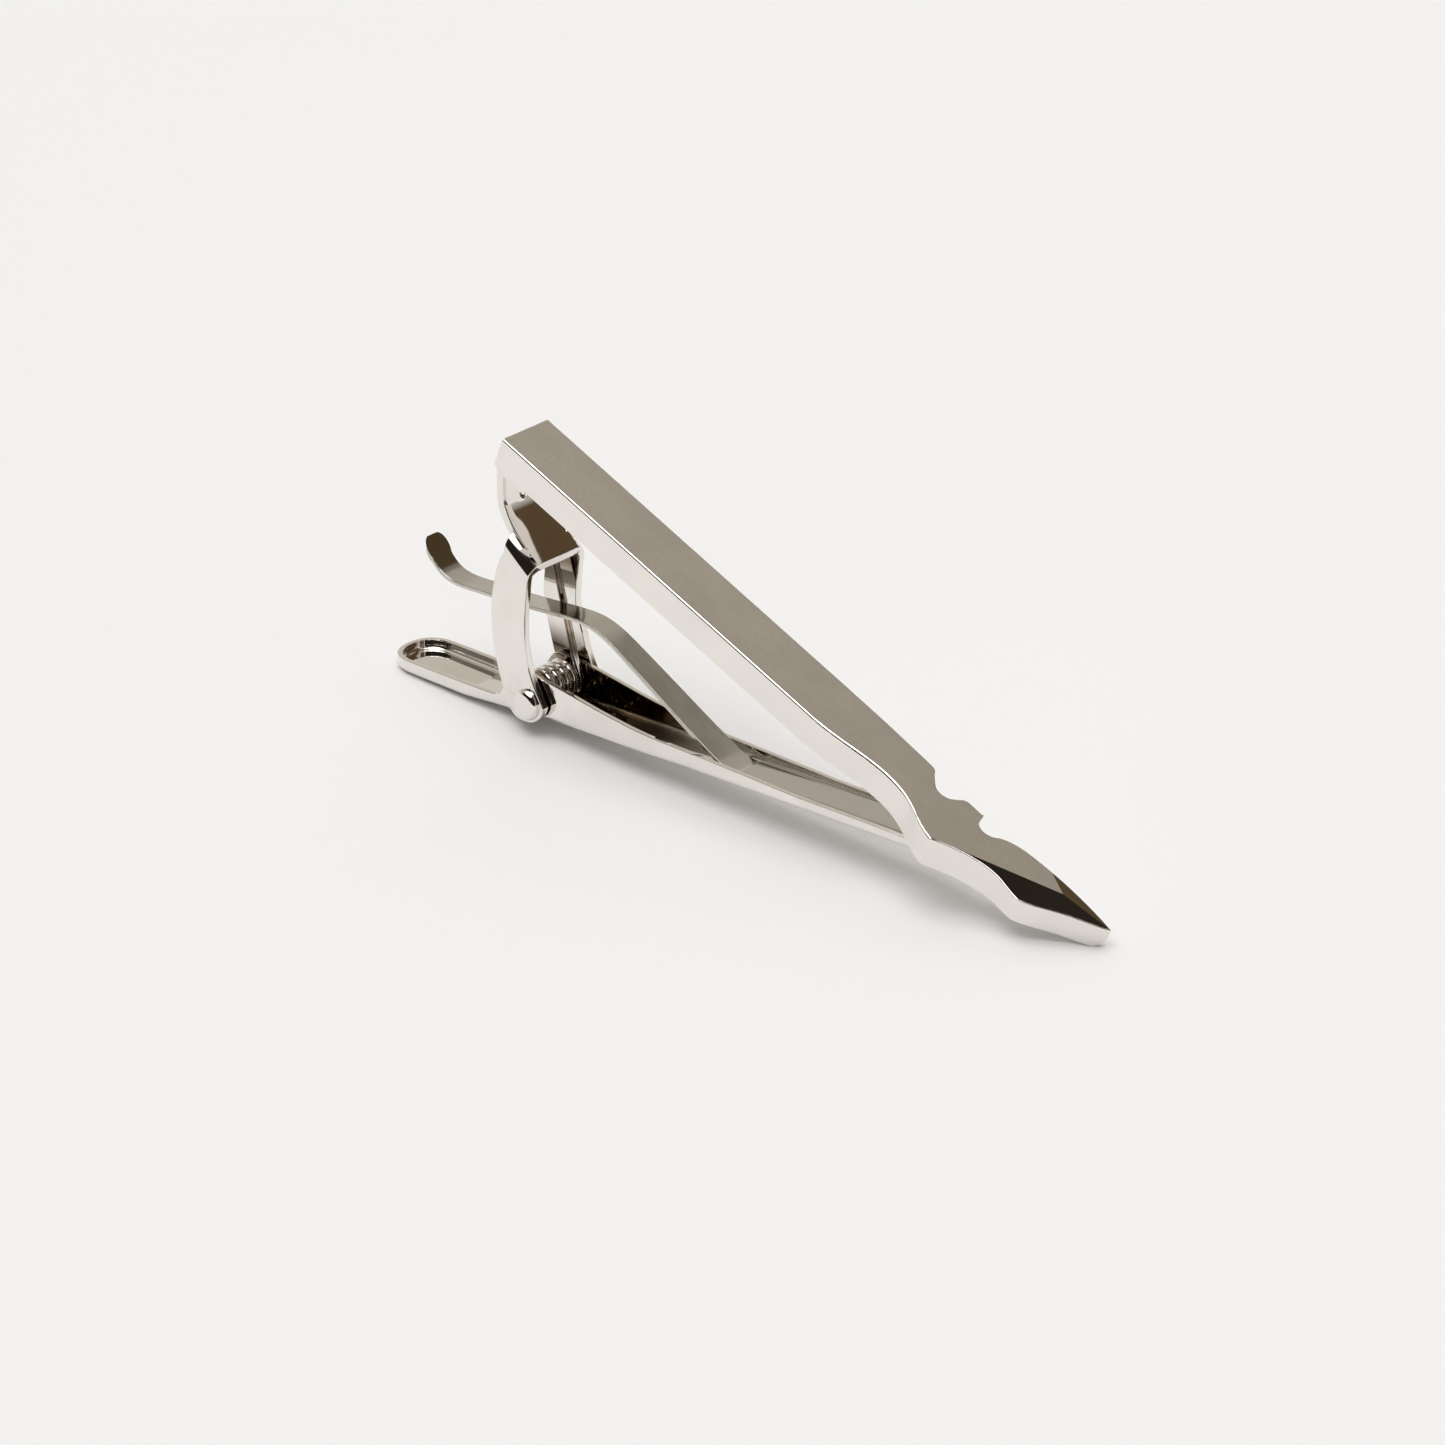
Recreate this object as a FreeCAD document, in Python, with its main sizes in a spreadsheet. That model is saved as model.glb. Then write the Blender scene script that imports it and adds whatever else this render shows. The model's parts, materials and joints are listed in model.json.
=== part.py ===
"""Spring tie clip: a flat shaped bar, a soldered hinge bracket, a sprung lower jaw and its tongue.

Side views are drawn in the XZ plane, with X = 0 at the top rear edge of the bar and Z = 0 on the table
under the tail and the point. Each sub-part is then moved by -origin_x, so that the finished clip has its
origin under the middle of its own box. Apart from the bar's outline, it is symmetric about Y = 0.
"""
import FreeCAD, Part
import Sketcher
import math
import os

V = FreeCAD.Vector

DRIVING = [
    ("bar_length", 59.76, "rear end to point, along the bar"),
    ("bar_width", 4.7, "straight part of the bar"),
    ("bar_thickness", 2.5, "bar at its rear"),
    ("tip_thickness", 2.2, "bar at its point"),
    ("point_height", 1.81, "top of the point, above the table"),
    ("taper_start", 47.0, "where the underside starts to thin towards the point"),
    ("tilt", 20.55, "slope of the bar on a table, in degrees"),
    ("edge_round", 0.1, "polished edges of the bar"),
    ("near_edge_round", 0.18, "polished long edge of the bar on its near side"),
    ("point_round", 0.08, "polished near edge of the point, along its facet"),
    ("facet_drop", 0.26, "top of the point, below the flat top of the bar"),
    ("bracket_sheet", 0.6, "bracket sheet thickness"),
    ("leg_spread", 6.0, "outside of one bracket leg to the outside of the other"),
    ("fold_radius", 1.1, "outer radius of the fold from web to leg"),
    ("strap_width", 4.2, "strap and tab under the bar"),
    ("tab_length", 2.1, "tab under the bar, from the strap forwards"),
    ("pipe_hole", 0.6, "pipe hole in the solder"),
    ("solder_inset", 0.2, "solder inside each edge of the strap"),
    ("far_leg_lean", 0.6, "how far the far leg's lower end is bent forward"),
    ("pin_x", 3.0, "pivot, forward of the bar's rear"),
    ("pin_z", 2.52, "pivot, above the table"),
    ("pin_radius", 0.3, "shank of the rivet"),
    ("pin_clearance", 0.05, "running clearance in the jaw"),
    ("head_radius", 1.2, "rivet head"),
    ("head_flat", 0.8, "flat middle of the rivet head"),
    ("head_height", 0.5, "rivet head above the leg"),
    ("jaw_sheet", 0.4, "jaw sheet thickness"),
    ("jaw_width", 4.5, "jaw at the tail and the pivot"),
    ("jaw_tip_width", 4.2, "jaw at its tip"),
    ("jaw_round", 0.5, "outer radius along the jaw's lower edges"),
    ("jaw_inner_round", 0.35, "inner radius along the floor of the trough"),
    ("jaw_reach", 41.2, "tip of the jaw, forward of the bar's rear"),
    ("tail_reach", 12.58, "end of the tail, behind the bar's rear"),
    ("tail_width", 4.76, "widest part of the tail"),
    ("tongue_sheet", 0.28, "tongue sheet thickness"),
    ("tongue_rear_width", 1.92, "tongue at its turned-up end"),
    ("tongue_front_width", 2.5, "tongue in the trough of the jaw"),
    ("tongue_offset", 0.08, "tongue lies a little towards the far side"),
    ("tongue_reach", 40.2, "front end of the tongue"),
    ("tongue_round", 0.07, "tumbled edges along the top of the tongue"),
    ("wire", 0.55, "spring wire diameter"),
    ("coil_radius", 1.275, "mean radius of the coil"),
    ("coil_pitch", 0.7, "one turn of the coil to the next"),
    ("coil_turns", 4.0, "whole turns of the coil"),
    ("coil_back", 0.3, "coil centre behind the pin, because both spring arms push it there"),
    ("coil_up", 0.58, "coil centre above the pin"),
    ("front_arm", 11.3, "spring arm up to the bracket's web"),
    ("rear_arm", 3.1, "spring arm along the tail"),
    ("front_arm_angle", 15.3, "lean of the front arm, in degrees from upright"),
    ("rear_arm_angle", 7.0, "fall of the rear arm, in degrees"),
]
DERIVED = [
    ("origin_x", "=(bar_length * cos(tilt * 1deg) - tail_reach) / 2", "middle of the clip's box"),
    ("bar_rear_z", "=bar_length * sin(tilt * 1deg) + point_height",
     "top rear edge of the bar"),
    ("coil_height", "=coil_pitch * (coil_turns + (90 - rear_arm_angle + front_arm_angle) / 360)",
     "from the first end of the coil to the last"),
]
WIDE = 30.0  # half length of a cutting prism, past every face of the clip


# ---------------------------------------------------------------------------- helpers
def make_sheet(doc):
    """Put the driving dimensions in a spreadsheet, with the derived ones below them."""
    sheet = doc.addObject("Spreadsheet::Sheet", "Dimensions")
    rows = [(alias, str(value), note) for alias, value, note in DRIVING] + DERIVED
    for row, (alias, text, note) in enumerate(rows, start=1):
        sheet.set("A%d" % row, text)
        sheet.setAlias("A%d" % row, alias)
        sheet.set("B%d" % row, note)
    doc.recompute()
    return sheet


def read_sheet(sheet):
    """All dimensions as plain numbers, by alias."""
    names = [alias for alias, _, _ in DRIVING + DERIVED]
    return {name: float(getattr(sheet.get(name), "Value", sheet.get(name))) for name in names}


def bind(obj, **expressions):
    """Bind properties to the sheet: a bare alias, or a formula of aliases in angle brackets."""
    for path, text in expressions.items():
        text = text.replace("<", "Dimensions.").replace(">", "")
        obj.setExpression(path.replace("__", "."), text)


def place(obj, x="-<origin_x>", z="0"):
    """Move a finished sub-part into the clip's own frame."""
    bind(obj, Placement__Base__x=x, Placement__Base__z=z)


def draw(sketch, start, steps):
    """Closed outline: a step of one point is a line, of two an arc, and of more a smooth curve."""
    here = V(*start, 0)
    for step in steps:
        points = [V(x, y, 0) for x, y in step]
        if len(points) == 1:
            piece = Part.LineSegment(here, points[0])
        elif len(points) == 2:
            piece = Part.Arc(here, points[0], points[1])
        else:
            piece = Part.BSplineCurve()
            piece.interpolate([here] + points)
        sketch.addGeometry(piece, False)
        here = points[-1]
    sketch.detectMissingPointOnPointConstraints(1e-6)
    sketch.makeMissingPointOnPointCoincident()


def body_sketch(body, name, role):
    """Empty sketch on one of a body's origin planes."""
    sketch = body.newObject("Sketcher::SketchObject", name)
    plane = [f for f in body.Origin.OriginFeatures if f.Role == role][0]
    sketch.AttachmentSupport = [(plane, "")]
    sketch.MapMode = "FlatFace"
    return sketch


def both_ways(body, kind, name, sketch, width):
    """Pad or pocket of a side view, to the same distance each side of Y = 0."""
    feature = body.newObject("PartDesign::" + kind, name)
    feature.Profile = sketch
    feature.Midplane = True
    bind(feature, Length=width)
    return feature


def round_edges(body, name, base, test, radius):
    """Round the edges of a body's last feature whose middle point passes a test."""
    names = edge_names(base.Shape, test)
    fillet = body.newObject("PartDesign::Fillet", name)
    fillet.Base = (base, names)
    bind(fillet, Radius=radius)
    return fillet


def edge_names(shape, test):
    """Names of the edges whose middle point and two ends pass a test."""
    names = []
    for number, edge in enumerate(shape.Edges, start=1):
        middle = edge.valueAt((edge.FirstParameter + edge.LastParameter) / 2)
        if all(test(point) for point in [middle] + [vertex.Point for vertex in edge.Vertexes]):
            names.append("Edge%d" % number)
    return names


def upper_side_edges(shape):
    """Numbers of the edges along both sides of the faces that point up, without their rounded ends."""
    def points_up(face):
        u1, u2, v1, v2 = face.ParameterRange
        return face.normalAt((u1 + u2) / 2, (v1 + v2) / 2).z > 0.3

    around = [edge for face in shape.Faces if points_up(face) for edge in face.Edges]
    return [number for number, edge in enumerate(shape.Edges, start=1)
            if sum(edge.isSame(other) for other in around) == 1
            and edge.BoundBox.XLength > 5 * edge.BoundBox.YLength]


def prism(doc, name, upright, start, steps, width):
    """Solid prism of an outline, drawn in side view if upright and in plan if not."""
    sketch = doc.addObject("Sketcher::SketchObject", name + "_outline")
    if upright:
        sketch.Placement.Rotation = FreeCAD.Rotation(V(1, 0, 0), 90)
    draw(sketch, start, steps)
    solid = doc.addObject("Part::Extrusion", name)
    solid.Base = sketch
    solid.DirMode = "Normal"
    solid.Symmetric = True
    solid.Solid = True
    bind(solid, LengthFwd=width)
    return solid


# ---------------------------------------------------------------------------- front bar
def make_front_bar(doc, d):
    """Flat bar whose front end is cut to a stepped, pointed outline, with two facets at the point."""
    body = doc.addObject("PartDesign::Body", "front_bar")
    side = d["bar_width"] / 2
    tip = (d["bar_length"], 1.99)
    corner = (46.5, -3.5)
    outline = body_sketch(body, "bar_outline", "XY_Plane")
    draw(outline, (0, -side), [
        [(33.0, -side)],
        [(36.4, -2.03), (39.9, -1.63), (42.9, -2.12), (45.2, -3.15), corner],
        [(48.8, -2.31), (50.23, -1.84), (51.74, -1.64), (53.1, -1.77), (54.0, -1.8)],
        [(54.82, -1.35), (56.07, -0.43), (57.5, 0.54), (58.62, 1.19), tip],
        [(56.85, 2.23), (53.97, 2.21), (51.6, 2.09), (50.5, 1.92), (49.7, 1.66), (49.0, 1.22)],
        [(47.95, 0.65), (47.14, 1.04)],
        [(46.8, 1.9)],
        [(46.4, 1.84), (46.0, 1.85), (45.6, 1.86), (45.15, 1.83), (44.88, 1.68), (44.7, 1.38)],
        [(44.3, 0.89)],
        [(43.5, 0.64), (42.6, 1.06)],
        [(41.95, 1.65)],
        [(41.7, 1.95), (41.2, 2.15)],
        [(38.0, 2.28), (35.0, 2.34), (31.0, side)],
        [(0, side)],
        [(0, -side)],
    ])
    plate = body.newObject("PartDesign::Pad", "bar_plate")
    plate.Profile = outline
    plate.Reversed = True
    bind(plate, Length="<bar_thickness>")
    doc.recompute()

    taper = body_sketch(body, "bar_taper", "XZ_Plane")
    length, past, low = d["bar_length"], d["bar_length"] + 2, -d["bar_thickness"] - 1
    draw(taper, (d["taper_start"], -d["bar_thickness"]), [
        [(length - 0.65, -d["tip_thickness"])],
        [(length - 0.3, -1.75), (length - 0.02, -0.55)],
        [(past, -0.55)], [(past, low)], [(d["taper_start"], low)],
        [(d["taper_start"], -d["bar_thickness"])],
    ])
    thinned = both_ways(body, "Pocket", "bar_thinned", taper, "<bar_width> * 4")
    doc.recompute()

    heel, crest, point = V(47.2, -3.0, 0), V(55.5, 1.25, 0), V(*tip, -d["facet_drop"])

    def on_top(at):
        return abs(at.z) < 1e-6

    def on_near_edge(at):
        return on_top(at) and at.y < 0.8 - side and -1e-3 < at.x < corner[0] + 1e-3

    def behind_point(at):
        return on_top(at) and not (at.x > corner[0] - 1e-3 and at.y < 0.5)

    def along_point(at):
        return at.x > corner[0] - 1e-3 and at.z > -0.5 and (crest - heel).cross(at - heel).z < -0.05

    near = round_edges(body, "near_edge_polished", thinned, on_near_edge, "<near_edge_round>")
    doc.recompute()
    round_edges(body, "bar_polished", near, behind_point, "<edge_round>")
    doc.recompute()
    facet(body, "near_facet", heel, crest, point)
    facet(body, "far_facet", crest, V(53.2, 2.25, 0), point)
    doc.recompute()
    round_edges(body, "point_polished", body.Tip, along_point, "<point_round>")
    body.Placement.Rotation = FreeCAD.Rotation(V(0, 1, 0), d["tilt"])
    bind(body, Placement__Rotation__Angle="<tilt> * 1deg")
    place(body, z="<bar_rear_z>")
    return body


def facet(body, name, first, second, third):
    """Cut the bar's top down to a plane through three points."""
    along = (second - first).normalize()
    normal = along.cross(third - first).normalize()
    normal *= math.copysign(1, normal.z)
    across = normal.cross(along)
    block = body.newObject("PartDesign::SubtractiveBox", name)
    block.Length = block.Width = block.Height = WIDE
    block.Placement = FreeCAD.Placement(first - (along + across) * WIDE / 2,
                                        FreeCAD.Rotation(along, across, normal))


# ---------------------------------------------------------------------------- hinge bracket
def underside(d, x):
    """Height of the bar's underside at one x of the side view."""
    slope = math.tan(math.radians(d["tilt"]))
    return d["bar_rear_z"] - d["bar_thickness"] / math.cos(math.radians(d["tilt"])) - slope * x


def leg_outline(d, front, rear, lean):
    """Side view of a leg and its half of the web; a leg that leans has its lower end further forward."""
    def shift(x, z, share):
        return (x + lean * share * min(1.0, max(0.0, (9.0 - z) / 3.0)), z)

    back = [(0.4, 13.68), (0.0, 12.84), (-0.28, 11.83), (-0.6, 10.2), (-0.71, 8.6), (-0.58, 6.9),
            (-0.21, 5.0), (0.3, 3.4), (1.08, 1.72)]
    foot = [[(1.62, 1.13), (2.45, 0.97)], [(4.0, 1.5), (4.6, 2.6)], [(4.42, 2.98)]]
    ahead = [(3.9, 3.75), (3.5, 4.5), (3.14, 5.4), (2.93, 6.22), (2.74, 7.4), (2.69, 8.6), (2.78, 10.1),
             (2.9, 11.2), (3.06, 12.4)]
    return (front.x, front.y), [
        [(rear.x, rear.y)],
        [(0.68, 14.2)],
        [shift(x, z, 0.5) for x, z in back],
        [shift(x, z, 0.75) for x, z in foot[0]],
        [shift(x, z, 1.0) for x, z in foot[1]],
        [shift(x, z, 1.0) for x, z in foot[2]],
        [shift(x, z, 1.0) for x, z in ahead] + [(front.x, front.y)],
    ]


def make_hinge_bracket(doc, d):
    """One bent sheet: a tab and strap under the bar, a sloping web, and two legs down to the pivot."""
    body = doc.addObject("PartDesign::Body", "hinge_bracket")
    web_front, web_rear = V(3.35, 13.6, 0), V(0.85, 15.55, 0)
    along = (web_rear - web_front).normalize()
    inward = V(-along.y, along.x, 0) * d["bracket_sheet"]

    for name, toward_far, lean in [("near_leg", False, 0.0), ("far_leg", True, d["far_leg_lean"])]:
        side = body_sketch(body, name + "_outline", "XZ_Plane")
        draw(side, *leg_outline(d, web_front, web_rear, lean))
        half = body.newObject("PartDesign::Pad", name)
        half.Profile = side
        half.Reversed = toward_far
        bind(half, Length="<leg_spread> / 2")
        doc.recompute()

    front = web_front + inward - along * 5
    rear = web_rear + inward + along * 2
    gap = body_sketch(body, "leg_gap", "XZ_Plane")
    draw(gap, (front.x, front.y), [
        [(rear.x, rear.y)], [(-WIDE, rear.y)], [(-WIDE, -1)], [(WIDE, -1)], [(WIDE, front.y)],
        [(front.x, front.y)],
    ])
    channel = both_ways(body, "Pocket", "leg_channel", gap, "<leg_spread> - 2 * <bracket_sheet>")
    doc.recompute()

    def on_line(point, start):
        return abs((V(point.x, point.z, 0) - start).cross(along).z) < 1e-4

    inner = d["leg_spread"] / 2 - d["bracket_sheet"]
    folded = round_edges(body, "fold_outside", channel,
                         lambda p: on_line(p, web_front) and abs(p.y) > inner + 1e-3, "<fold_radius>")
    doc.recompute()
    round_edges(body, "fold_inside", folded,
                lambda p: on_line(p, web_front + inward) and abs(abs(p.y) - inner) < 1e-3,
                "<fold_radius> - <bracket_sheet>")
    doc.recompute()

    rear_x, face_x, drop = strap_faces(d)
    tab_x = face_x + d["tab_length"]
    strap = body_sketch(body, "strap_outline", "XZ_Plane")
    draw(strap, (2.1, 14.57), [
        [(1.3, 15.27), (0.75, 15.87), (0.36, 16.46), (0.02, 17.17), (-0.18, 17.75), (face_x, 18.4)],
        [(face_x, underside(d, face_x) - drop - 0.4)],
        [(face_x + 0.1, underside(d, face_x) - drop - 0.13),
         (face_x + 0.4, underside(d, face_x + 0.4) - drop)],
        [(tab_x, underside(d, tab_x) - drop)],
        [(tab_x, underside(d, tab_x))],
        [(rear_x, underside(d, rear_x))],
        [(rear_x, 18.4)],
        [(-0.84, 17.5), (-0.68, 16.9), (-0.42, 16.35), (-0.1, 15.78), (0.33, 15.25), (0.85, 14.98)],
        [(2.1, 14.57)],
    ])
    both_ways(body, "Pad", "strap", strap, "<strap_width>")
    doc.recompute()

    hole = body_sketch(body, "pin_hole_outline", "XZ_Plane")
    hole.addGeometry(Part.Circle(V(d["pin_x"], d["pin_z"], 0), V(0, 0, 1), d["pin_radius"]), False)
    radius = hole.addConstraint(Sketcher.Constraint("Radius", 0, d["pin_radius"]))
    hole.setExpression("Constraints[%d]" % radius, "Dimensions.pin_radius")
    both_ways(body, "Pocket", "pin_holes", hole, "<leg_spread> * 2")
    place(body)
    return body


def strap_faces(d):
    """Rear and front faces of the strap, and the height of the tab's sheet measured upright."""
    rear_x = -d["bar_thickness"] * math.sin(math.radians(d["tilt"]))
    drop = d["bracket_sheet"] / math.cos(math.radians(d["tilt"]))
    return rear_x, rear_x + d["bracket_sheet"] + 0.04, drop


def make_solder_joint(doc, d):
    """Solder that fills the corner of strap, tab and bar, with a pipe hole left in its near side."""
    bracket = doc.getObject("hinge_bracket")
    rear_x, face_x, drop = strap_faces(d)
    end_x = 2.25
    lump = prism(doc, "solder_lump", True, (rear_x + 0.3, 17.4), [
        [(0.05, 17.3), (0.4, 17.52), (0.75, 17.8), (1.2, 17.98), (1.7, 18.22), (2.0, 18.7),
         (end_x, underside(d, end_x))],
        [(rear_x + 0.3, underside(d, rear_x + 0.3))],
        [(rear_x + 0.3, 17.4)],
    ], "<strap_width> - 2 * <solder_inset>")
    place(lump)
    hole = doc.addObject("Part::Cylinder", "pipe_hole")
    bind(hole, Radius="<pipe_hole> / 2", Height="<pipe_hole> * 2")
    hole.Placement.Rotation = FreeCAD.Rotation(V(1, 0, 0), -90)
    bind(hole, Placement__Base__x="1.6 - <origin_x>", Placement__Base__y="-<strap_width> / 2 - 0.3",
         Placement__Base__z="18.68")
    cutter = doc.addObject("Part::Compound", "solder_cutter")
    cutter.Links = [bracket, hole]
    solder = doc.addObject("Part::Cut", "solder_joint")
    solder.Base = lump
    solder.Tool = cutter
    return solder


# ---------------------------------------------------------------------------- pin and spring
def make_hinge_pin(doc, d):
    """Rivet through both legs and the jaw, with a low domed head outside each leg."""
    body = doc.addObject("PartDesign::Body", "hinge_pin")
    profile = body_sketch(body, "pin_profile", "XY_Plane")
    leg = d["leg_spread"] / 2
    top = leg + d["head_height"]
    shank, head, flat = d["pin_radius"], d["head_radius"], d["head_flat"]
    bulge = (flat + (head - flat) * 0.72, leg + d["head_height"] * 0.72)
    draw(profile, (0, -top), [
        [(flat, -top)],
        [(bulge[0], -bulge[1]), (head, -leg)],
        [(shank, -leg)],
        [(shank, leg)],
        [(head, leg)],
        [bulge, (flat, top)],
        [(0, top)],
        [(0, -top)],
    ])
    turned = body.newObject("PartDesign::Revolution", "pin_turned")
    turned.Profile = profile
    turned.ReferenceAxis = (profile, ["V_Axis"])
    turned.Angle = 360
    place(body, x="<pin_x> - <origin_x>", z="<pin_z>")
    return body


def make_torsion_spring(doc, d):
    """Left-hand coil around the pin, one arm along the tail and the other up behind the web.

    It is made about the Z axis and then turned, so that Z runs along the pin.
    """
    begin = math.radians(90 - d["rear_arm_angle"])
    end = math.radians(-d["front_arm_angle"])
    coil = doc.addObject("Part::Helix", "coil_line")
    coil.LocalCoord = "Left-handed"
    bind(coil, Radius="<coil_radius>", Pitch="<coil_pitch>", Height="<coil_height>")
    bind(coil, Placement__Rotation__Angle="(90 - <rear_arm_angle>) * 1deg")

    leaving = V(math.cos(begin), math.sin(begin), 0) * d["coil_radius"]
    rearward = V(-math.sin(begin), math.cos(begin), 0)
    arriving = V(math.cos(end), math.sin(end), 0) * d["coil_radius"] + V(0, 0, d["coil_height"])
    upward = V(math.sin(end), -math.cos(end), 0)
    rear_end = leaving + rearward * d["rear_arm"]
    arms = [straight(doc, "rear_arm_line", rear_end, leaving),
            straight(doc, "front_arm_line", arriving, arriving + upward * d["front_arm"])]
    line = doc.addObject("Part::Compound", "spring_line")
    line.Links = [arms[0], coil, arms[1]]

    section = doc.addObject("Part::Circle", "wire_section")
    bind(section, Radius="<wire> / 2")
    section.Placement = FreeCAD.Placement(rear_end, FreeCAD.Rotation(V(0, 0, 1), rearward))
    spring = doc.addObject("Part::Sweep", "torsion_spring")
    spring.Sections = [section]
    spring.Spine = (line, [])
    spring.Solid = True
    spring.Frenet = True
    spring.Transition = "Transformed"
    spring.Placement.Rotation = FreeCAD.Rotation(V(1, 0, 0), -90)
    place(spring, x="<pin_x> - <coil_back> - <origin_x>", z="<pin_z> + <coil_up>")
    bind(spring, Placement__Base__y="-<coil_height> / 2")
    return spring


def straight(doc, name, start, end):
    """Straight line between two points."""
    line = doc.addObject("Part::Line", name)
    line.X1, line.Y1, line.Z1 = start
    line.X2, line.Y2, line.Z2 = end
    return line


# ---------------------------------------------------------------------------- jaw and tongue
def jaw_floor(d, inset):
    """Underside of the jaw, from past its tip to past its tail: it steps down behind the pivot."""
    front, rear = d["jaw_reach"] + 1, -d["tail_reach"] - 1
    return [(front, 1.3 + 0.0685 * (front - 4.2) + inset), (4.2, 1.3 + inset), (0.5, 0.78 + inset),
            (-4.5, 0.28 + inset), (rear, 0.28 + 0.037 * (rear + 4.5) + inset)]


def jaw_plan(d, inset):
    """Plan of the jaw, drawn in by an inset: wide round tail, straight sides, square front."""
    tail, wide = d["tail_width"] / 2 - inset, d["jaw_width"] / 2 - inset
    narrow, front = d["jaw_tip_width"] / 2 - inset, d["jaw_reach"] - inset
    begin = 10.0
    reach = d["tail_reach"] - inset - begin
    flat = 2 / 2.3
    turn = [math.radians(15 * step) for step in range(1, 6)]
    bend = [(-begin - reach * math.sin(a) ** flat, tail * math.cos(a) ** flat) for a in turn]
    end = bend + [(-begin - reach, 0)] + [(x, -y) for x, y in reversed(bend)]
    return (-begin, -tail), [
        [(-5.5, -tail)],
        [(-4.0, -tail + 0.02), (-1.5, -wide - 0.02), (0.0, -wide)],
        [(12.0, -wide)],
        [(14.0, -wide + 0.02), (17.0, -narrow - 0.02), (19.0, -narrow)],
        [(front - 0.9, -narrow)],
        [(front - 0.26, -narrow + 0.26), (front, -narrow + 0.9)],
        [(front, narrow - 0.9)],
        [(front - 0.26, narrow - 0.26), (front - 0.9, narrow)],
        [(19.0, narrow)],
        [(17.0, narrow + 0.02), (14.0, wide - 0.02), (12.0, wide)],
        [(0.0, wide)],
        [(-1.5, wide + 0.02), (-4.0, tail - 0.02), (-5.5, tail)],
        [(-begin, tail)],
        end + [(-begin, -tail)],
    ]


def make_lower_jaw(doc, d):
    """Pressed trough: low round tail, high walls at the pivot, and a long narrow front."""
    floor = jaw_floor(d, 0)
    outer_side = prism(doc, "jaw_side", True, floor[4], [
        [floor[3]], [floor[2]], [floor[1]], [floor[0]],
        [(floor[0][0], 4.6)],
        [(36.2, 4.44), (33.0, 4.24), (29.3, 4.02), (25.5, 3.93), (22.6, 3.85), (18.7, 3.74), (15.0, 3.69),
         (12.0, 3.79), (9.6, 3.96), (5.4, 4.38), (1.9, 4.55)],
        [(1.15, 4.4), (0.62, 3.95)],
        [(-0.45, 2.2)],
        [(-0.75, 1.8), (-1.2, 1.63)],
        [(-6.0, 1.39)],
        [(floor[4][0], 1.04)],
        [floor[4]],
    ], "<jaw_width> * 2")
    start, steps = jaw_plan(d, 0)
    outer_plan = prism(doc, "jaw_plan", False, start, steps, "60")
    outside = doc.addObject("Part::MultiCommon", "jaw_outside")
    outside.Shapes = [outer_side, outer_plan]
    doc.recompute()

    floor = jaw_floor(d, d["jaw_sheet"])
    inner_side = prism(doc, "trough_side", True, floor[4], [
        [floor[3]], [floor[2]], [floor[1]], [floor[0]],
        [(floor[0][0], 12)], [(floor[4][0], 12)], [floor[4]],
    ], "<jaw_width> * 2")
    start, steps = jaw_plan(d, d["jaw_sheet"])
    inner_plan = prism(doc, "trough_plan", False, start, steps, "60")
    inside = doc.addObject("Part::MultiCommon", "jaw_inside")
    inside.Shapes = [inner_side, inner_plan]
    doc.recompute()

    rounded = [round_bottom(doc, outside, "jaw_outside_rounded", d["jaw_round"], jaw_floor(d, 0)),
               round_bottom(doc, inside, "jaw_inside_rounded", d["jaw_inner_round"],
                            jaw_floor(d, d["jaw_sheet"]))]
    hole = doc.addObject("Part::Cylinder", "jaw_pin_hole")
    bind(hole, Radius="<pin_radius> + <pin_clearance>", Height="<jaw_width> * 2")
    hole.Placement.Rotation = FreeCAD.Rotation(V(1, 0, 0), 90)
    bind(hole, Placement__Base__x="<pin_x>", Placement__Base__y="<jaw_width>",
         Placement__Base__z="<pin_z>")
    cutter = doc.addObject("Part::MultiFuse", "jaw_cutter")
    cutter.Shapes = [rounded[1], hole]
    jaw = doc.addObject("Part::Cut", "lower_jaw")
    jaw.Base = rounded[0]
    jaw.Tool = cutter
    place(jaw)
    return jaw


def round_bottom(doc, base, name, radius, floor):
    """Round every edge around the bottom faces of one prism of the jaw."""
    def on_floor(point):
        for (x1, z1), (x2, z2) in zip(floor, floor[1:]):
            if min(x1, x2) - 1e-3 <= point.x <= max(x1, x2) + 1e-3:
                return abs(point.z - z1 - (z2 - z1) * (point.x - x1) / (x2 - x1)) < 1e-3
        return False

    crosswise = {x for x, _ in floor[1:-1]}
    names = edge_names(base.Shape, on_floor)
    numbers = []
    for label in names:
        edge = base.Shape.getElement(label)
        if edge.Vertexes[0].X not in crosswise or abs(edge.Vertexes[0].X - edge.Vertexes[-1].X) > 1e-6:
            numbers.append(int(label[4:]))
    fillet = doc.addObject("Part::Fillet", name)
    fillet.Base = base
    fillet.Edges = [(number, radius, radius) for number in numbers]
    return fillet


def offset_curve(points, distance):
    """Points of a sheet's lower face, at one distance from its upper face."""
    curve = Part.BSplineCurve()
    curve.interpolate([V(x, z, 0) for x, z in points])
    lower = []
    for x, z in points:
        along = V(*curve.tangent(curve.parameter(V(x, z, 0)))[0])
        lower.append((x + along.y * distance, z - along.x * distance))
    return lower


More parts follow.
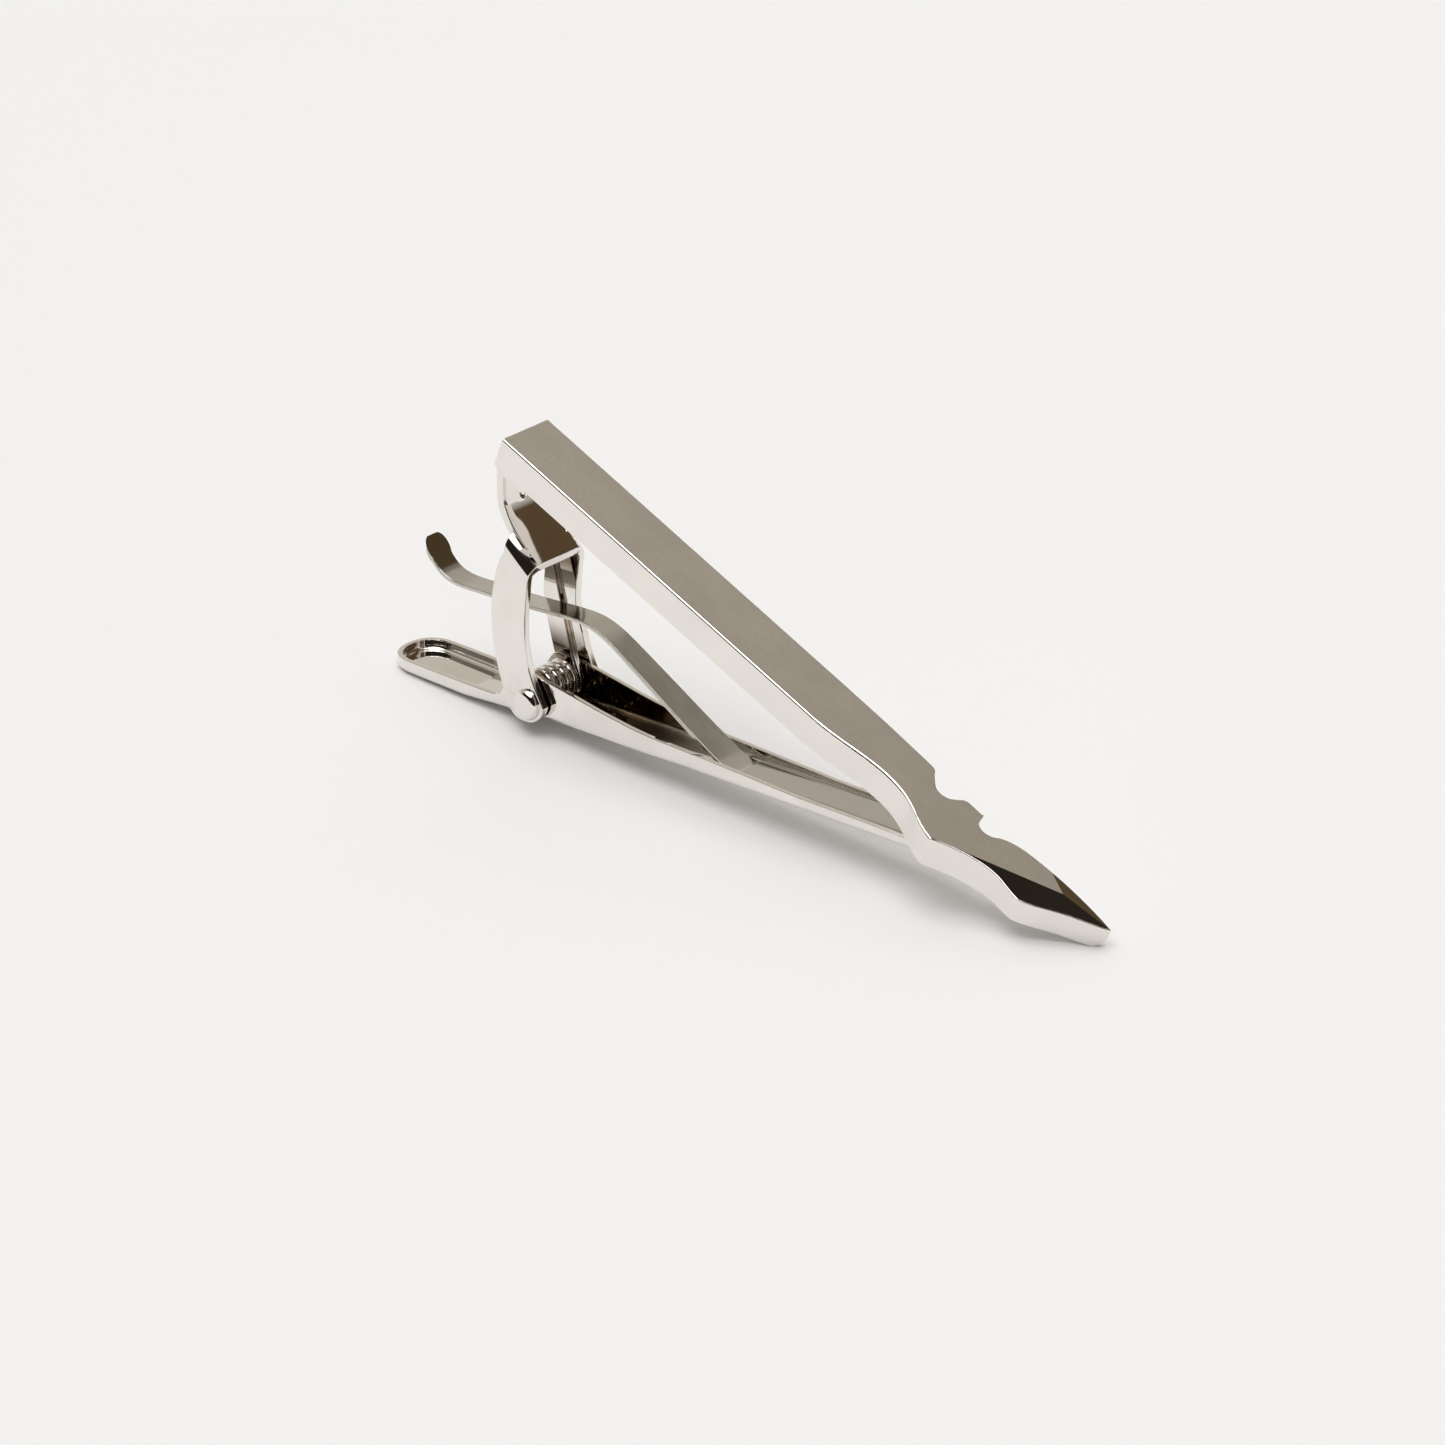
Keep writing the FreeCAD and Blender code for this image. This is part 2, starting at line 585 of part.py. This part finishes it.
def make_tongue(doc, d):
    """Bent strip: turned-up rear end, through the bracket, down into the jaw, flat in its trough."""
    def seat(x):
        (x1, z1), (x2, z2) = jaw_floor(d, d["jaw_sheet"])[:2]
        return z1 + (z2 - z1) * (x - x1) / (x2 - x1)

    upper = [(-9.95, 10.98), (-8.95, 9.72), (-7.9, 8.8), (-6.6, 8.5), (-4.7, 8.6), (-1.7, 8.86), (2.5, 9.34),
             (5.2, 9.68), (7.2, 9.72), (8.8, 9.34), (10.5, 8.58), (12.5, 7.55), (15.5, 6.0), (18.2, 4.62),
             (19.8, 3.86), (21.2, seat(21.2) + 0.43), (22.6, seat(22.6) + d["tongue_sheet"])]
    lower = offset_curve(upper, d["tongue_sheet"])
    lower[-1] = (22.6, seat(22.6))
    front = d["tongue_reach"]
    side = prism(doc, "tongue_side", True, upper[0], [
        upper[1:],
        [(front, seat(front) + d["tongue_sheet"])],
        [(front, seat(front))],
        [lower[-1]],
        lower[-2::-1],
        [upper[0]],
    ], "<jaw_width>")
    rear, wide = d["tongue_rear_width"] / 2, d["tongue_front_width"] / 2
    plan = prism(doc, "tongue_plan", False, (-8.9, -rear), [
        [(6.0, -rear)],
        [(10.0, -rear - 0.05), (15.0, -wide + 0.12), (19.0, -wide + 0.05), (22.0, -wide)],
        [(front + 1, -wide)], [(front + 1, wide)], [(22.0, wide)],
        [(19.0, wide - 0.05), (15.0, wide - 0.12), (10.0, rear + 0.05), (6.0, rear)],
        [(-8.9, rear)],
        [(-9.7, rear - 0.1), (-9.9, rear - 0.5)],
        [(-9.9, -rear + 0.5)],
        [(-9.7, -rear + 0.1), (-8.9, -rear)],
    ], "60")
    strip = doc.addObject("Part::MultiCommon", "tongue_strip")
    strip.Shapes = [side, plan]
    doc.recompute()
    tongue = doc.addObject("Part::Fillet", "tongue")
    tongue.Base = strip
    radius = d["tongue_round"]
    tongue.Edges = [(number, radius, radius) for number in upper_side_edges(strip.Shape)]
    place(tongue)
    bind(tongue, Placement__Base__y="<tongue_offset>")
    return tongue


# ---------------------------------------------------------------------------- document
def check(doc, parts):
    """Stop if any object failed, or if any sub-part is not one sound solid."""
    for obj in doc.Objects:
        bad = [state for state in obj.State if state in ("Invalid", "Error")]
        if bad:
            raise RuntimeError("%s is %s" % (obj.Label, bad))
    for part in parts:
        shape = part.Shape
        if shape.isNull() or not shape.isValid() or len(shape.Solids) != 1:
            raise RuntimeError("%s is not one sound solid" % part.Label)


def main():
    doc = FreeCAD.newDocument("tie_clip")
    sheet = make_sheet(doc)
    d = read_sheet(sheet)
    makers = [make_front_bar, make_hinge_bracket, make_solder_joint, make_hinge_pin, make_torsion_spring,
              make_lower_jaw, make_tongue]
    parts = [maker(doc, d) for maker in makers]
    doc.recompute()
    check(doc, parts)
    os.makedirs("parts", exist_ok=True)
    for part in parts:
        part.Shape.exportStep("parts/%s.step" % part.Label)
        box = part.Shape.BoundBox
        print("%-16s volume %8.2f  X %7.2f %7.2f  Y %6.2f %6.2f  Z %6.2f %6.2f" % (
            part.Label, part.Shape.Volume, box.XMin, box.XMax, box.YMin, box.YMax, box.ZMin, box.ZMax))


main()
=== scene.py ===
"""Studio scene of the spring tie clip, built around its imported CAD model. All lengths are in metres."""
import json
import math

import bmesh
import bpy
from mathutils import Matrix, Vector


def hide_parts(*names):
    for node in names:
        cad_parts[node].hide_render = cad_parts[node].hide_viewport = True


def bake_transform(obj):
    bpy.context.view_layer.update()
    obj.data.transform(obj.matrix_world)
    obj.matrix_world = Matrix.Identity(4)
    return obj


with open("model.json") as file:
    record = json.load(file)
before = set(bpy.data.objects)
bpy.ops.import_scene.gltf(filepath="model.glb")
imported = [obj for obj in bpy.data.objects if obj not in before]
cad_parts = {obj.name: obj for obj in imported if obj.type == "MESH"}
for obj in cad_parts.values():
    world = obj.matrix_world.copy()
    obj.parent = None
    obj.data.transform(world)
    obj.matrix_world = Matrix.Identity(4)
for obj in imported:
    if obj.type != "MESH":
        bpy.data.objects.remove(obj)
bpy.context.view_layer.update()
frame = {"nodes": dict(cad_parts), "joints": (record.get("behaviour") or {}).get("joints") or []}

MM = 0.001
NODES = frame["nodes"]
PIVOT = Vector(frame["joints"][0]["pos_m"])

# The clip as it is drawn: slope and length of the bar, and the end of the tail behind the bar's rear.
TILT = math.radians(20.55)
BAR_LENGTH_MM = 59.76
TAIL_REACH_MM = 12.58
ORIGIN_X_MM = (BAR_LENGTH_MM * math.cos(TILT) - TAIL_REACH_MM) / 2
BAR_UP = (math.sin(TILT), 0.0, math.cos(TILT))

# The spring, with the sizes of its CAD node.
WIRE = 0.55 * MM
COIL_CENTRE = PIVOT + Vector((-0.3, 0.0, 0.58)) * MM
COIL_RADIUS = 1.275 * MM
COIL_PITCH = 0.7 * MM
COIL_TURNS = 4.0
REAR_ARM = 3.1 * MM
REAR_FALL = math.radians(7.0)
FRONT_ARM = 11.3 * MM
FRONT_LEAN = math.radians(15.3)
REAR_STEPS = 12
COIL_STEPS = 200
FRONT_STEPS = 40
WIRE_SIDES = 20
# Rings at a rounded wire end: distance from the end and radius, as shares of the wire's radius.
END_RINGS = [(0.0, 0.7), (0.15, 0.93), (0.4, 1.0)]

# Colours of the metal.
NICKEL = (0.87, 0.836, 0.795)
BRUSHED = (0.8, 0.755, 0.685)
STRIP = (0.58, 0.56, 0.51)
BROWN_FILM = (0.42, 0.33, 0.23)
# Painted shade: near-black with lighter brown streaks, painted into the deep places in place of dark
# reflections.
PAINTED_SHADE_DARK = (0.1, 0.075, 0.055)
PAINTED_SHADE_STREAK = (0.42, 0.34, 0.25)

# Patterns of the finish: stretch along each axis, scale, then detail and roughness of the noise.
EVEN = (1.0, 1.0, 1.0)
ALONG = (0.08, 1.0, 1.0)
CLOUDS = (EVEN, 160.0, 2.0)
SMEARS = ((0.35, 1.0, 1.0), 420.0, 3.0, 0.6)
PATCHES = (EVEN, 260.0, 3.0, 0.6)
STREAKS = ((0.3, 1.0, 1.0), 500.0, 2.0)
SPECKS = ((0.5, 1.0, 1.0), 7000.0, 2.0, 0.7)
BROAD_WAVES = ((0.5, 1.0, 1.0), 70.0, 1.0)
GRAIN_DETAIL = 4.0
GRAIN_SCALE = 900.0
BRUSH_SCALE = 2600.0
GRAIN_DEPTH = 0.012 * MM
GRAIN_STRENGTH = 0.12
WAVES_MM = 0.008
# Part of each noise's range over which its pattern shows.
MIDDLE = (0.3, 0.7)
SMEAR_RANGE = (0.3, 0.75)
PATCH_RANGE = (0.45, 0.75)
STREAK_RANGE = (0.35, 0.7)
# Shares of the colour, and of the roughness, between which the patterns vary.
CLOUD_SHADE = 0.955
SMEAR_GLOSS = (0.8, 1.35)
BRUSHED_CLOUD_SHADE = 0.94
BRUSHED_SPECK_SHADE = (0.96, 1.04)
BRUSHED_GLOSS = (0.92, 1.1)
BRUSHED_ROUGH = 0.26

# Deep places of the metal where dark shade and reflections are painted into the colour. Each pair is the
# range over which a mask comes or goes.
TROUGH_REAR = (PIVOT.x - 3.5 * MM, PIVOT.x - 0.5 * MM)
TROUGH_FRONT = (PIVOT.x + 7.0 * MM, PIVOT.x + 19.0 * MM)
TROUGH_INSIDE = (1.88 * MM, 1.98 * MM)
TROUGH_FACING_UP = (-0.4, -0.2)
BEND_INSIDE = (2.44 * MM, 2.5 * MM)
BEND_FACING_FRONT = (0.2, 0.4)
BEND_FACING_UP = (0.1, 0.3)
BEND_AT_RIVET = (PIVOT.z + 2.0 * MM, PIVOT.z + 4.5 * MM)
BEND_AT_WEB = (PIVOT.z + 6.5 * MM, PIVOT.z + 9.5 * MM)
BEND_TOP = (15.0 * MM, 15.3 * MM)
ARM_FOOT = (PIVOT.z + 1.8 * MM, PIVOT.z + 3.0 * MM)
# The bar's flat top: cosine of the angle between a face and the top.
TOP_FACING = (0.9975, 0.9995)

# Rounded edges of the bent sheets.
BRACKET_ROUND = 0.1 * MM
JAW_ROUND = 0.06 * MM
ROUND_SEGMENTS = 3
SHARP_ANGLE = math.radians(30.0)
JOIN_DISTANCE = 0.0005 * MM
FLAT_WEIGHT = 80

# The studio. X runs towards the clip's point and the near side is at -Y.
FLOOR_HALF = 6.0
FLOOR_COLOUR = (0.865, 0.868, 0.882, 1.0)
FLOOR_ROUGH = 0.9
FLOOR_SPECULAR = 0.1
ROOM_LOW = (0.86, 0.83, 0.79)
ROOM_HIGH = (0.56, 0.52, 0.46)
ROOM_RISE = (0.1, 0.46)
# Patches of the room: direction, degrees from it to the patch's edge and to its full colour, colour.
ROOM = [
    ((-0.1, 0.84, 0.5), 16, 8, (0.09, 0.06, 0.035)),          # brown, on the far side
    ((-0.04, -0.84, 0.48), 54, 30, (0.018, 0.014, 0.01)),     # black, on the near side
    ((0.45, -0.7, 0.5), 60, 40, (0.018, 0.014, 0.01)),        # black, on the near side towards the point
    ((0.5, 0.65, 0.55), 33, 21, (0.095, 0.062, 0.033)),       # brown, on the far side towards the point
    ((-0.08, -0.22, 0.97), 31, 22, (2.7, 2.7, 2.65)),         # bright, overhead
    ((-0.03, 0.42, 0.9), 17, 10, (0.02, 0.016, 0.012)),       # black, high on the far side
]
LAMP_SIZE = 1.4
LAMP_COLOUR = (1.0, 1.0, 0.99)
KEY_PLACE = (-0.1, 0.55, 1.0)
KEY_WATTS = 3.6
FILL_PLACE = (0.5, -0.7, 1.0)
FILL_WATTS = 4.2

# The camera.
SENSOR_MM = 36.0
LENS_MM = 241.98
CLIP_START = 0.05
CLIP_END = 20.0
CAMERA_PLACE = Vector((452.62 - ORIGIN_X_MM, -448.49, 324.72)) * MM
CAMERA_AIM = Vector((19.93 - ORIGIN_X_MM, 0.0, 5.93)) * MM


# ---------------------------------------------------------------------------- node helpers
def new_tree(name):
    """Material with an empty tree, its tree and its output."""
    material = bpy.data.materials.new(name)
    material.use_nodes = True
    tree = material.node_tree
    tree.nodes.clear()
    return material, tree, tree.nodes.new("ShaderNodeOutputMaterial")


def add(tree, kind, inputs=(), **settings):
    """Node of a kind with its settings; inputs maps a socket to a value or to another node's output."""
    node = tree.nodes.new(kind)
    for key, value in settings.items():
        setattr(node, key, value)
    for key, value in dict(inputs).items():
        if isinstance(value, bpy.types.NodeSocket):
            tree.links.new(value, node.inputs[key])
        else:
            node.inputs[key].default_value = value
    return node


def spread(tree, value, ends, to_low, to_high):
    """A value carried over smoothly from the range between two ends to another range."""
    node = add(tree, "ShaderNodeMapRange", {"Value": value, "From Min": ends[0], "From Max": ends[1],
                                            "To Min": to_low, "To Max": to_high},
               interpolation_type="SMOOTHSTEP")
    return node.outputs["Result"]


def rising(tree, value, ends):
    """0 below the first of two ends, 1 above the second."""
    return spread(tree, value, ends, 0.0, 1.0)


def falling(tree, value, ends):
    """1 below the first of two ends, 0 above the second."""
    return spread(tree, value, ends, 1.0, 0.0)


def noise(tree, stretch, scale, detail=3.0, rough=0.55):
    """Noise in the piece's own space, stretched along each axis and then turned by the bar's slope."""
    place = add(tree, "ShaderNodeTexCoord").outputs["Object"]
    placed = add(tree, "ShaderNodeMapping", {"Vector": place, "Scale": stretch,
                                             "Rotation": (0.0, -TILT, 0.0)})
    return add(tree, "ShaderNodeTexNoise", {"Vector": placed.outputs[0], "Scale": scale, "Detail": detail,
                                            "Roughness": rough}).outputs["Fac"]


def mixed(tree, a, b, factor):
    """Colour between two colours or colour outputs."""
    node = tree.nodes.new("ShaderNodeMix")
    node.data_type = "RGBA"
    for name, value in (("A", a), ("B", b)):
        socket = [i for i in node.inputs if i.name == name and i.type == "RGBA"][0]
        if isinstance(value, bpy.types.NodeSocket):
            tree.links.new(value, socket)
        else:
            socket.default_value = (*value, 1.0)
    tree.links.new(factor, node.inputs[0])
    return [o for o in node.outputs if o.type == "RGBA"][0]


def between(tree, a, b, factor):
    """Number between two numbers or number outputs."""
    return add(tree, "ShaderNodeMix", {2: a, 3: b, 0: factor}).outputs[0]


def scaled(colour, share):
    """Colour made lighter or darker."""
    return tuple(min(1.0, c * share) for c in colour)


def times(tree, a, b):
    """Product of two number outputs."""
    return add(tree, "ShaderNodeMath", {0: a, 1: b}, operation="MULTIPLY").outputs[0]


def plus(tree, a, b):
    """Sum of two number outputs."""
    return add(tree, "ShaderNodeMath", {0: a, 1: b}, operation="ADD").outputs[0]


def position(tree):
    """Outputs of a point's place, its distance from the middle plane, and outputs of its face's normal."""
    place = add(tree, "ShaderNodeTexCoord")
    at = add(tree, "ShaderNodeSeparateXYZ", {0: place.outputs["Object"]}).outputs
    facing = add(tree, "ShaderNodeSeparateXYZ", {0: place.outputs["Normal"]}).outputs
    return at, add(tree, "ShaderNodeMath", {0: at["Y"]}, operation="ABSOLUTE").outputs[0], facing


# ---------------------------------------------------------------------------- deep places with painted shade
def painted_shade_in_trough(tree):
    """1 on the inside faces of the jaw's trough, from the rivet to where the tongue lies flat: where dark
    shade and reflections are painted.
    """
    at, sideways, facing = position(tree)
    along = times(tree, rising(tree, at["X"], TROUGH_REAR), falling(tree, at["X"], TROUGH_FRONT))
    within = times(tree, falling(tree, sideways, TROUGH_INSIDE),
                   rising(tree, facing["Z"], TROUGH_FACING_UP))
    return times(tree, along, within)


def painted_shade_in_bend(tree):
    """1 on the inside faces of the bracket, under its web and again at the rivet, where dark shade and
    reflections are painted.
    """
    at, sideways, facing = position(tree)
    hidden = times(tree, falling(tree, facing["X"], BEND_FACING_FRONT),
                   falling(tree, facing["Z"], BEND_FACING_UP))
    within = times(tree, falling(tree, sideways, BEND_INSIDE), hidden)
    height = plus(tree, falling(tree, at["Z"], BEND_AT_RIVET), rising(tree, at["Z"], BEND_AT_WEB))
    return times(tree, within, times(tree, height, falling(tree, at["Z"], BEND_TOP)))


def painted_reflection_on_arm(tree):
    """1 on the spring's front arm, above the coil, where a dark reflection is painted."""
    at = position(tree)[0]
    return rising(tree, at["Z"], ARM_FOOT)


# ---------------------------------------------------------------------------- materials
def metal_colour(tree, colour, cloud, tarnish, painted_shade):
    """Colour of the metal with its clouds, brown film, and painted shade and dark reflections in its deep
    places.
    """
    shade = mixed(tree, scaled(colour, CLOUD_SHADE), colour, cloud)
    if tarnish:
        patch = spread(tree, noise(tree, *PATCHES), PATCH_RANGE, 0.0, tarnish)
        shade = mixed(tree, shade, BROWN_FILM, patch)
    if painted_shade:
        # Painted shade and dark reflections: near-black with brown streaks where the mask is 1.
        painted_streak = rising(tree, noise(tree, *STREAKS), STREAK_RANGE)
        dark = mixed(tree, PAINTED_SHADE_DARK, PAINTED_SHADE_STREAK, painted_streak)
        shade = mixed(tree, shade, dark, painted_shade(tree))
    return shade


def brushed_face(tree, satin, cloud, smear):
    """Mask, colour and roughness of a brushed face, from its direction, colour and roughness."""
    direction, colour, rough = satin
    normal = add(tree, "ShaderNodeTexCoord").outputs["Normal"]
    facing = add(tree, "ShaderNodeVectorMath", {0: normal, 1: direction}, operation="DOT_PRODUCT")
    mask = rising(tree, facing.outputs["Value"], TOP_FACING)
    speck = rising(tree, noise(tree, *SPECKS), MIDDLE)
    dark, light = BRUSHED_SPECK_SHADE
    brushed = mixed(tree, scaled(colour, dark), scaled(colour, light), speck)
    shade = mixed(tree, scaled(colour, BRUSHED_CLOUD_SHADE), brushed, cloud)
    smooth, dull = BRUSHED_GLOSS
    return mask, shade, spread(tree, smear, MIDDLE, rough * smooth, rough * dull)


def relief(tree, grain, grain_scale, waves):
    """Normal of the surface with its fine grain and the broad waves of polishing; waves is in mm."""
    fine = add(tree, "ShaderNodeBump", {"Height": noise(tree, grain, grain_scale, GRAIN_DETAIL),
                                        "Strength": GRAIN_STRENGTH, "Distance": GRAIN_DEPTH})
    broad = add(tree, "ShaderNodeBump", {"Height": noise(tree, *BROAD_WAVES), "Strength": 1.0,
                                         "Distance": waves * MM, "Normal": fine.outputs[0]})
    return broad.outputs[0]


def plating(name, colour, rough, grain=EVEN, grain_scale=GRAIN_SCALE, waves=WAVES_MM, satin=None,
            tarnish=0.0, painted_shade=None):
    """Bright plated metal: faint waves of polishing, fine grain, small colour changes and smears.

    satin is (direction, colour, roughness) of a brushed face on an otherwise polished piece, tarnish
    is how far a brown film shows in patches, and painted_shade gives the deep places where dark shade and
    reflections are painted into the colour.
    """
    material, tree, out = new_tree(name)
    cloud = rising(tree, noise(tree, *CLOUDS), MIDDLE)
    smear = noise(tree, *SMEARS)
    shade = metal_colour(tree, colour, cloud, tarnish, painted_shade)
    smooth, dull = SMEAR_GLOSS
    gloss = spread(tree, smear, SMEAR_RANGE, rough * smooth, rough * dull)
    if satin:
        mask, satin_shade, satin_gloss = brushed_face(tree, satin, cloud, smear)
        shade = mixed(tree, shade, satin_shade, mask)
        gloss = between(tree, gloss, satin_gloss, mask)
    shader = add(tree, "ShaderNodeBsdfPrincipled", {"Base Color": shade, "Roughness": gloss, "Metallic": 1.0,
                                                    "Normal": relief(tree, grain, grain_scale, waves)})
    tree.links.new(shader.outputs[0], out.inputs[0])
    return material


def paint(node, material):
    """Give one CAD node a material."""
    piece = NODES[node]
    piece.data.materials.clear()
    piece.data.materials.append(material)


def paint_all():
    """Give every CAD node but the spring its own finish."""
    paint("front_bar", plating("nickel_bar", NICKEL, rough=0.06, grain=ALONG, grain_scale=BRUSH_SCALE,
                               satin=(BAR_UP, BRUSHED, BRUSHED_ROUGH)))
    # Painted shade inside the bracket, under its web and at the rivet.
    paint("hinge_bracket", plating("nickel_bracket", NICKEL, rough=0.06, tarnish=0.12, painted_shade=painted_shade_in_bend))
    paint("solder_joint", plating("nickel_solder", scaled(NICKEL, 0.97), rough=0.12, waves=0.12, tarnish=0.2))
    paint("hinge_pin", plating("nickel_rivet", NICKEL, rough=0.09))
    # Painted shade in the jaw's trough.
    paint("lower_jaw", plating("nickel_jaw", NICKEL, rough=0.05, tarnish=0.1, painted_shade=painted_shade_in_trough))
    paint("tongue", plating("nickel_tongue", STRIP, rough=0.13, grain=ALONG, grain_scale=BRUSH_SCALE))


def soften(node, width):
    """Round a sheet's sharp edges a little, as tumbling does, and keep its flat faces flat."""
    piece = NODES[node]
    joined = piece.modifiers.new("joined_faces", "WELD")
    joined.merge_threshold = JOIN_DISTANCE
    tumbled = piece.modifiers.new("tumbled_edges", "BEVEL")
    tumbled.width = width
    tumbled.segments = ROUND_SEGMENTS
    tumbled.limit_method = "ANGLE"
    tumbled.angle_limit = SHARP_ANGLE
    tumbled.use_clamp_overlap = False
    even = piece.modifiers.new("even_normals", "WEIGHTED_NORMAL")
    even.mode = "FACE_AREA_WITH_ANGLE"
    even.weight = FLAT_WEIGHT
    even.keep_sharp = True


# ---------------------------------------------------------------------------- spring
def spring_line():
    """Points along the middle of the wire: rear arm, coil, then front arm."""
    sweep = math.radians(90.0) - REAR_FALL + FRONT_LEAN + COIL_TURNS * math.tau
    height = COIL_PITCH * sweep / math.tau
    begin = math.radians(-90.0) - REAR_FALL

    def on_coil(angle):
        y = -height / 2 + height * angle / sweep
        turn = begin + angle
        return COIL_CENTRE + Vector((math.cos(turn) * COIL_RADIUS, y, math.sin(turn) * COIL_RADIUS))

    first, last = on_coil(0.0), on_coil(sweep)
    back = Vector((-math.cos(REAR_FALL), 0.0, -math.sin(REAR_FALL)))
    up = Vector((-math.sin(FRONT_LEAN), 0.0, math.cos(FRONT_LEAN)))
    points = [first + back * REAR_ARM * (1 - i / REAR_STEPS) for i in range(REAR_STEPS)]
    points += [on_coil(sweep * i / COIL_STEPS) for i in range(COIL_STEPS + 1)]
    points += [last + up * FRONT_ARM * i / FRONT_STEPS for i in range(1, FRONT_STEPS + 1)]
    return points


def wire_rings(points, radius):
    """Rings of points round a wire's middle line, smaller at both rounded ends."""
    rings = []
    side = Vector((0.0, 1.0, 0.0))
    last = len(points) - 1
    for index, point in enumerate(points):
        ahead = (points[min(index + 1, last)] - points[max(index - 1, 0)]).normalized()
        side = (side - ahead * side.dot(ahead)).normalized()
        other = ahead.cross(side)
        steps = [(0.0, 1.0)]
        if index == 0:
            steps = END_RINGS
        if index == last:
            steps = [(-away, share) for away, share in reversed(END_RINGS)]
        for away, share in steps:
            middle = point + ahead * radius * away
            turns = [math.tau * step / WIRE_SIDES for step in range(WIRE_SIDES)]
            spokes = [side * math.cos(turn) + other * math.sin(turn) for turn in turns]
            rings.append([middle + spoke * radius * share for spoke in spokes])
    return rings


def tube(name, points, radius):
    """Round wire along points, with rounded-off ends."""
    mesh = bmesh.new()
    rings = [[mesh.verts.new(place) for place in ring] for ring in wire_rings(points, radius)]
    for one, two in zip(rings, rings[1:]):
        for step in range(WIRE_SIDES):
            after = (step + 1) % WIRE_SIDES
            mesh.faces.new((one[step], one[after], two[after], two[step]))
    mesh.faces.new(list(reversed(rings[0])))
    mesh.faces.new(rings[-1])
    bmesh.ops.recalc_face_normals(mesh, faces=mesh.faces)
    data = bpy.data.meshes.new(name)
    mesh.to_mesh(data)
    mesh.free()
    for face in data.polygons:
        face.use_smooth = len(face.vertices) == 4
    piece = bpy.data.objects.new(name, data)
    bpy.context.scene.collection.objects.link(piece)
    return piece


def make_spring():
    """Wire spring whose coil winds up between the jaw and the bracket."""
    spring = tube("spring_wire_coil", spring_line(), WIRE / 2)
    # The front arm gets a painted dark reflection.
    spring.data.materials.append(plating("nickel_spring", scaled(NICKEL, 0.96), rough=0.08, tarnish=0.15,
                                         painted_shade=painted_reflection_on_arm))
    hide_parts("torsion_spring")
    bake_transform(spring)


# ---------------------------------------------------------------------------- stage
def make_floor():
    """Large pale matt floor."""
    corners = [(-FLOOR_HALF, -FLOOR_HALF, 0.0), (FLOOR_HALF, -FLOOR_HALF, 0.0),
               (FLOOR_HALF, FLOOR_HALF, 0.0), (-FLOOR_HALF, FLOOR_HALF, 0.0)]
    mesh = bpy.data.meshes.new("studio_floor")
    mesh.from_pydata(corners, [], [(0, 1, 2, 3)])
    floor = bpy.data.objects.new("studio_floor", mesh)
    bpy.context.scene.collection.objects.link(floor)
    material, tree, out = new_tree("pale_floor")
    shader = add(tree, "ShaderNodeBsdfPrincipled", {"Base Color": FLOOR_COLOUR, "Roughness": FLOOR_ROUGH,
                                                    "Specular IOR Level": FLOOR_SPECULAR})
    tree.links.new(shader.outputs[0], out.inputs[0])
    floor.data.materials.append(material)


def make_world():
    """Soft room: pale low down and greyer higher up, with the patches in ROOM."""
    world = bpy.data.worlds.new("studio_room")
    bpy.context.scene.world = world
    world.use_nodes = True
    tree = world.node_tree
    tree.nodes.clear()
    out = tree.nodes.new("ShaderNodeOutputWorld")
    way = add(tree, "ShaderNodeTexCoord").outputs["Generated"]
    up = add(tree, "ShaderNodeSeparateXYZ", {0: way}).outputs["Z"]
    colour = mixed(tree, ROOM_LOW, ROOM_HIGH, rising(tree, up, ROOM_RISE))
    for direction, edge, full, target in ROOM:
        toward = Vector(direction).normalized()
        dot = add(tree, "ShaderNodeVectorMath", {0: way, 1: toward}, operation="DOT_PRODUCT").outputs["Value"]
        share = rising(tree, dot, (math.cos(math.radians(edge)), math.cos(math.radians(full))))
        colour = mixed(tree, colour, target, share)
    back = add(tree, "ShaderNodeBackground", {"Color": colour, "Strength": 1.0})
    tree.links.new(back.outputs[0], out.inputs[0])


def area_light(name, place, power):
    """Soft square lamp at a place, aimed at the clip and not seen in its reflections."""
    lamp = bpy.data.lights.new(name, "AREA")
    lamp.shape = "SQUARE"
    lamp.size = LAMP_SIZE
    lamp.energy = power
    lamp.color = LAMP_COLOUR
    piece = bpy.data.objects.new(name, lamp)
    piece.location = place
    piece.rotation_euler = (-Vector(place)).to_track_quat("-Z", "Y").to_euler()
    piece.visible_glossy = False
    bpy.context.scene.collection.objects.link(piece)


def make_camera():
    """Long lens above the clip, in front of its point and on its near side."""
    camera = bpy.data.cameras.new("camera")
    camera.sensor_width = SENSOR_MM
    camera.lens = LENS_MM
    camera.clip_start = CLIP_START
    camera.clip_end = CLIP_END
    piece = bpy.data.objects.new("camera", camera)
    piece.location = CAMERA_PLACE
    piece.rotation_euler = (CAMERA_AIM - CAMERA_PLACE).to_track_quat("-Z", "Y").to_euler()
    bpy.context.scene.collection.objects.link(piece)
    bpy.context.scene.camera = piece


paint_all()
soften("hinge_bracket", BRACKET_ROUND)
soften("lower_jaw", JAW_ROUND)
make_spring()
bpy.context.scene.view_settings.view_transform = "Standard"
make_floor()
make_world()
area_light("key", KEY_PLACE, KEY_WATTS)
area_light("fill", FILL_PLACE, FILL_WATTS)
make_camera()
